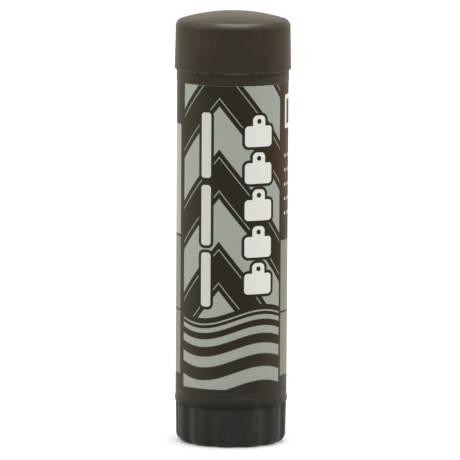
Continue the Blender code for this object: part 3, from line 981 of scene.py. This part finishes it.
def moulded_black(name, sheen, sheen_tint):
    """The plastic of one moulding."""
    finish = Finish(name)
    cloud = finish.noise(9.0)
    grain = finish.noise(0.16, 3.0)
    sink = finish.noise(6.0)
    patchy = finish.noise(1.0, 3.0).ramp(0.3, 0.7) * (1 - LEAST_PATCH) + LEAST_PATCH
    scuffs = scuff_marks(finish)
    specks = finish.specks(1.1, 0.16) * finish.noise(5.0).ramp(0.5, 0.62)

    tone = moulded_tone(finish, cloud)
    # The dome is painted paler, partly with dust and partly as a painted reflection.
    tone = finish.mix(dust_and_reflection(finish, patchy), tone, DUST_AND_REFLECTION_TONE)
    # Painted shade in the knob's seam.
    tone = finish.mix(painted_seam_shade(finish, patchy), tone, SEAM_SHADE)
    tone = finish.mix(scuffs * SCUFF_SHARE, tone, SCUFFED)
    # Worn corners painted paler, the collar's edge partly as a painted highlight.
    tone = finish.mix(worn_and_highlit_edges(finish), tone, WORN_AND_HIGHLIT)
    tone = finish.mix(specks * SPECK_SHARE, tone, SPECK)
    finish.surface(
        Base_Color=tone,
        Roughness=cloud * 0.10 + grain * 0.06 + scuffs * 0.10 + 0.36,
        Specular_IOR_Level=0.05,
        Specular_Tint=WARM,
        Sheen_Weight=sheen,
        Sheen_Roughness=0.6,
        Sheen_Tint=sheen_tint,
        Coat_Weight=hand_polish(finish),
        Coat_Roughness=0.31,
        Normal=finish.bump(grain * 0.35 + sink * 0.65, GRAIN_DEPTH),
    )
    return finish.material


for piece, name, sheen, sheen_tint in (
    (cap, "cap_plastic", 0.12, shade(1.0, 0.79, 0.47)),
    (barrel, "barrel_plastic", 0.11, shade(1.0, 0.84, 0.58)),
    (knob, "knob_plastic", 0.07, shade(1.0, 0.97, 0.85)),
):
    piece.data.materials.append(moulded_black(name, sheen, sheen_tint))

# %% [markdown]
# ## Wax
# Marking wax is soft and dull, with a greasy bloom and small pits where air was caught as it set. The pits
# could be cut into the mesh, but they are half a millimetre across and shallow, so a bump draws them.

# %% Black wax
PIT_SPACING = 2.2
PIT_SIZE = 0.5
PIT_DEPTH = 0.05

wax_finish = Finish("marking_wax")
bloom = wax_finish.noise(4.0, 3.0).ramp(0.35, 0.75)
pits = wax_finish.specks(PIT_SPACING, PIT_SIZE)
wax_finish.surface(
    Base_Color=wax_finish.mix(bloom, shade(0.012, 0.0115, 0.011), shade(0.024, 0.023, 0.022)),
    Roughness=bloom * 0.2 + 0.42,
    Specular_IOR_Level=0.3,
    Normal=wax_finish.bump(wax_finish.noise(1.6, 4.0) * 0.5 - pits * 0.5, PIT_DEPTH),
)
wax.data.materials.append(wax_finish.material)

# %% [markdown]
# ## Undyed plastic
# The spindle and the carrier work unseen inside the barrel. Their CAD shapes are right as they are, so
# they stay and only get the milky, slightly uneven look of undyed plastic.

# %% Milky plastic for the works
milky = Finish("undyed_plastic")
streak = milky.noise(3.0, 3.0, (1, 1, 0.25))
milky.surface(
    Base_Color=milky.mix(streak.ramp(0.3, 0.7), shade(0.56, 0.55, 0.50), shade(0.68, 0.67, 0.63)),
    Roughness=streak * 0.15 + 0.36,
    Normal=milky.bump(milky.noise(0.3, 2.0), 0.004),
)
for node in ("spindle", "carrier"):
    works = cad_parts[node]
    for slot in works.material_slots:
        slot.material = milky.material
    print(node, "has", len(works.material_slots), "material slot")

# %% [markdown]
# ## The printed film
# The print is drawn flat: across is the way round the barrel in millimetres from the middle of the front,
# and up is the height above the film's foot. Each motif is a distance that is positive inside its shape,
# and a narrow ramp turns that into ink with a clean edge.

# %% The flat drawing of the film
INK_EDGE = 0.07

film = Finish("label_print")
across = film.node("ShaderNodeMath", {"operation": "ARCTAN2"}, [film.x, 0 - film.y]) * film_radius
up = film.z - film_foot
film_height = film_top - film_foot


def inked(distance):
    """1 where a distance in millimetres is inside its shape, 0 outside."""
    return distance.ramp(-INK_EDGE, INK_EDGE)


def panel(left, right, low, high, corner=0.3, height=up):
    """Distance inside an upright rounded panel."""
    over_x = abs(across - (left + right) / 2) - ((right - left) / 2 - corner) | 0.0
    over_y = abs(height - (low + high) / 2) - ((high - low) / 2 - corner) | 0.0
    return corner - (over_x * over_x + over_y * over_y).math("SQRT")


film.tally("flat drawing")

# %% [markdown]
# The black of the print isn't even. It is paler on the left of the front and at the foot of the
# right, darker above that, and browner there towards the top. The silver is grainy. The colours here
# are inks, so they stay well away from pure black and white.

# %% Inks
BLACK_INK = shade(0.0138, 0.0122, 0.0088)
PALER_BLACK_INK = shade(0.0235, 0.0212, 0.0158)
DEEP_BLACK_INK = shade(0.0050, 0.0046, 0.0034)
BROWN_BLACK_INK = shade(0.0235, 0.0085, 0.0035)
SILVER_INK = (0.325, 0.352, 0.318)
WHITE_INK = shade(0.72, 0.72, 0.69)
GREY_INK = shade(0.56, 0.57, 0.54)
PALE_INK = shade(0.40, 0.395, 0.345)
BEIGE_INK = shade(0.245, 0.232, 0.188)

# Each ramp runs between two places on the flat drawing, in millimetres across or up.
on_left = across.ramp(-6, -13) - across.ramp(-22, -32)
on_right = across.ramp(8, 17) - across.ramp(20, 30)
above_foot = up.ramp(12, 24)
right_black = film.mix(up.ramp(48, 62), DEEP_BLACK_INK, BROWN_BLACK_INK)
black = film.mix(on_left | on_right * (1 - above_foot), BLACK_INK, PALER_BLACK_INK)
black = film.mix(on_right * above_foot, black, right_black)
speckle = film.noise(0.22, 2.0)
silver_dark = scaled(SILVER_INK, 1 - TONE_SPREAD)
silver_pale = scaled(SILVER_INK, 1 + TONE_SPREAD)
silver = film.mix(speckle.ramp(0.3, 0.7), silver_dark, silver_pale)
film.tally("with its inks")

# %% [markdown]
# The front carries broad chevrons over rolling field lines, in silver on black. Chevrons are stripes
# folded at a middle line, so the height is skewed by the distance from that line before it is counted off
# in even steps, and a thin line runs along inside each black stripe. The field lines follow a wave, and
# lie closer together towards the skyline.

# %% Chevrons
FRONT_LEFT = -17.3
FRONT_RIGHT = 17.0
BLEED = 5.0
FOLD = -4.0
STEEPNESS = 1.25
CHEVRON_STEP = 28.0
CHEVRON_FOOT = 10.5
CHEVRON_WIDTH = 13.0
PIN_LINE = 0.4
PIN_INSET = 2.4

front = inked(panel(FRONT_LEFT, FRONT_RIGHT, -BLEED, film_height + BLEED))
climb = up + abs(across - FOLD) * STEEPNESS
stripe = abs((climb - CHEVRON_FOOT).math("FLOORED_MODULO", CHEVRON_STEP) - CHEVRON_STEP / 2)
pin_lines = inked(PIN_LINE / 2 - abs(stripe - CHEVRON_WIDTH / 2 - PIN_INSET))
stripes = inked(CHEVRON_WIDTH / 2 - stripe) | pin_lines
film.tally("with chevrons")

# %% Field lines
SKYLINE = 23.0
SKY_GAP = 1.6
WAVE_LENGTH = 39.0
WAVE_HEIGHT = 2.2
FIELD_LINES = 5
FIELD_DEPTH = SKYLINE + 1
FIELD_SHARE = 0.48
FIELD_FOOT = 0.8
FURROW_EDGE = 0.02

hill = (across * (math.tau / WAVE_LENGTH)).math("SINE") * WAVE_HEIGHT + SKYLINE
chevrons = stripes & inked(up - hill - SKY_GAP)
depth_below = (hill - up) | 0.0
furrow = ((depth_below / FIELD_DEPTH).math("SQRT") * FIELD_LINES).math("FRACT")
lines = (FIELD_SHARE / 2 - abs(furrow - 0.5)).ramp(-FURROW_EDGE, FURROW_EDGE)
fields = inked(hill - up) & inked(up - FIELD_FOOT) & lines
ink = film.mix(front & (chevrons | fields), black, silver)
film.tally("with field lines")

# %% [markdown]
# Over the chevrons hangs a column of blank ear tags, which is what a herd is numbered with. A tag is a
# plate and a neck, joined by taking the greater distance, with a hole through the neck. One tag is drawn,
# and counting the height off in even steps repeats it. Beside the tags lie three bare caption strips.

# %% Ear tags
KEYLINE = 0.9
TAGS = 5
TAG_STEP = 11.2
TAG_FOOT = 29.0
TAG_MIDDLE = 8.4
TAG_HOLE = 0.75
TAG_HOLE_HEIGHT = 8.6

tag_up = (up - TAG_FOOT).math("FLOORED_MODULO", TAG_STEP)


def on_tag(half_width, low, high, corner):
    """Distance inside a rounded panel on the middle line of every tag."""
    return panel(TAG_MIDDLE - half_width, TAG_MIDDLE + half_width, low, high, corner, tag_up)


plate = on_tag(half_width=4.6, low=0.9, high=7.2, corner=1.2)
neck = on_tag(half_width=2.1, low=4.0, high=10.4, corner=1.5)
hole = on_tag(TAG_HOLE, TAG_HOLE_HEIGHT - TAG_HOLE, TAG_HOLE_HEIGHT + TAG_HOLE, TAG_HOLE)
hung = inked(panel(0, 2 * TAG_MIDDLE, TAG_FOOT, TAG_FOOT + TAGS * TAG_STEP))
ink = film.mix(hung & inked((plate | neck) + KEYLINE), ink, black)
ink = film.mix(hung & inked((plate | neck) & (0 - hole)), ink, WHITE_INK)
film.tally("with ear tags")

# %% Caption strips
STRIP_LEFT = -9.8
STRIP_RIGHT = -6.6
STRIP_CORNER = 1.0

for low, high in ((26.0, 42.5), (44.7, 63.0), (65.2, 85.0)):
    strip = panel(STRIP_LEFT, STRIP_RIGHT, low, high, STRIP_CORNER)
    ink = film.mix(inked(strip + KEYLINE), ink, black)
    ink = film.mix(inked(strip), ink, GREY_INK)
film.tally("with caption strips")

# %% [markdown]
# Round the sides lie plain panels, a small empty frame, and a list of dots with short bars. Each is one
# more panel laid over the ink so far, as a printer lays one colour over another.

# %% Side panels
LEFT_PANELS = (-50.0, -19.6)
RIGHT_PANELS = (18.0, 50.0)

for left, right, low, high, colour in (
    (*LEFT_PANELS, 4.3, 23.6, BEIGE_INK),
    (*LEFT_PANELS, 24.2, 46.3, BEIGE_INK),
    (*LEFT_PANELS, 47.0, 80.5, PALE_INK),
    (*RIGHT_PANELS, 4.0, 23.2, BEIGE_INK),
    (*RIGHT_PANELS, 23.8, 45.4, BEIGE_INK),
    (20.4, 31.0, 79.3, 89.6, WHITE_INK),
    (21.8, 29.6, 80.7, 88.2, black),
):
    ink = film.mix(inked(panel(left, right, low, high)), ink, colour)
film.tally("with side panels")

# %% Dots and bars
LIST_ROWS = 5
LIST_FOOT = 53.0
LIST_STEP = 4.4
LIST_DOT = 20.2
DOT = 1.0
BAR_LEFT = 22.6
BAR_ENDS = (31.0, 27.0)

for row in range(LIST_ROWS):
    low = LIST_FOOT + LIST_STEP * row
    dot = panel(LIST_DOT, LIST_DOT + DOT, low, low + DOT, DOT / 2)
    bar = panel(BAR_LEFT, BAR_ENDS[row % 2], low, low + DOT)
    ink = film.mix(inked(dot), ink, WHITE_INK)
    ink = film.mix(inked(bar), ink, PALE_INK)
film.tally("with dots and bars")

# %% [markdown]
# The film is a satin one. It is a little hazy, most of all near its foot, where dust is rubbed into it. It
# follows the barrel with faint waves where air was trapped, and its top edge is painted pale, partly the pale
# core of the cut film and partly a painted highlight along that edge.

# %% Film surface
HAZE = shade(0.16, 0.15, 0.13)
HAZE_SHARE = 0.05
FOOT_HAZE = 0.045
FOOT_HAZE_TOP = 26
FOOT_HAZE_FULL = 6
CUT_EDGE = 0.1
CUT_EDGE_BLUR = 0.04
EDGE_CORE_AND_HIGHLIGHT_SHARE = 0.45

haze = film.noise(11.0)
dusty_foot = up.ramp(FOOT_HAZE_TOP, FOOT_HAZE_FULL) * FOOT_HAZE
hazed = film.mix(haze * HAZE_SHARE + dusty_foot, ink, HAZE)
# A painted highlight along the film's top edge, partly the pale core of the cut film.
cut_edge_and_highlight = (up - (film_height - CUT_EDGE)).ramp(0.0, CUT_EDGE_BLUR) * EDGE_CORE_AND_HIGHLIGHT_SHARE
film.surface(
    Base_Color=film.mix(cut_edge_and_highlight, hazed, PALE_INK),
    Roughness=haze * 0.10 + speckle * 0.05 + 0.40,
    Specular_IOR_Level=0.05,
    Specular_Tint=WARM,
    Sheen_Weight=0.09,
    Sheen_Roughness=0.6,
    Sheen_Tint=shade(1.0, 0.80, 0.50),
    Normal=film.bump(film.noise(2.2) * 0.8 + speckle * 0.2, GRAIN_DEPTH),
)
label.data.materials.append(film.material)

# %% [markdown]
# ## Studio
# The picture has a white ground and a very soft light, brighter at the sides than at the front, which is
# why the black plastic is palest along its edges. A white room gives that. Rays that look at the room or
# the floor find them white, and rays that only carry light find a plainer level, so that the ground is
# white and still keeps the stick's shadow.

# %% Floor
FLOOR_SIZE = 14
FLOOR_WHITE = 0.74
FLOOR_GLOW = 0.25

bpy.ops.object.select_all(action="DESELECT")
bpy.ops.mesh.primitive_plane_add(size=FLOOR_SIZE)
floor = bpy.context.object
floor.name = "floor"
paint = Finish("floor_paint")
paint.surface(
    Base_Color=shade(FLOOR_WHITE, FLOOR_WHITE, FLOOR_WHITE),
    Roughness=0.9,
    Specular_IOR_Level=0.0,
    Emission_Color=paint.mix(paint.looked_at(), shade(0, 0, 0), shade(FLOOR_GLOW, FLOOR_GLOW, FLOOR_GLOW)),
    Emission_Strength=1.0,
)
floor.data.materials.append(paint.material)

# %% Room
ROOM_LIGHT = 0.76

world = bpy.data.worlds.new("studio")
bpy.context.scene.world = world
world.use_nodes = True
room = Web(world.node_tree)
background = world.node_tree.nodes["Background"]
background.inputs["Color"].default_value = shade(1, 1, 1)
room.feed(background.inputs["Strength"], room.looked_at() * (1 - ROOM_LIGHT) + ROOM_LIGHT)
room.tally("room")

# %% [markdown]
# Soft lamps shape the black plastic. A large one hangs overhead and draws the bright line along the front of
# the cap's rim. Two weaker ones stand at the sides, out of the picture, and their warm light shows along the
# two edges of the stick, as a warm room does round a black thing.

# %% Soft lamps
def soft_lamp(name, stand, width, depth, watts, colour):
    """A flat lamp that looks at the middle of the stick."""
    lamp = bpy.data.lights.new(name, "AREA")
    lamp.shape = "RECTANGLE"
    lamp.size = width
    lamp.size_y = depth
    lamp.energy = watts
    lamp.color = colour
    made = bpy.data.objects.new(name, lamp)
    made.location = stand
    towards_stick = Vector((0, 0, cap_top * MM / 2)) - made.location
    made.rotation_euler = towards_stick.to_track_quat("-Z", "Y").to_euler()
    bpy.context.scene.collection.objects.link(made)
    print("%s: %.1f W at %s" % (name, watts, stand))


soft_lamp("overhead_lamp", (0.25, 0.0, 3.0), width=3.2, depth=2.0, watts=66, colour=(1, 1, 1))
soft_lamp("left_lamp", (-1.25, -0.2, 0.4), width=0.8, depth=0.9, watts=4.2, colour=(1.0, 0.92, 0.78))
soft_lamp("right_lamp", (1.3, 0.0, 0.4), width=0.8, depth=0.9, watts=2.6, colour=(1.0, 0.80, 0.58))
bpy.context.scene.view_settings.view_transform = "Standard"
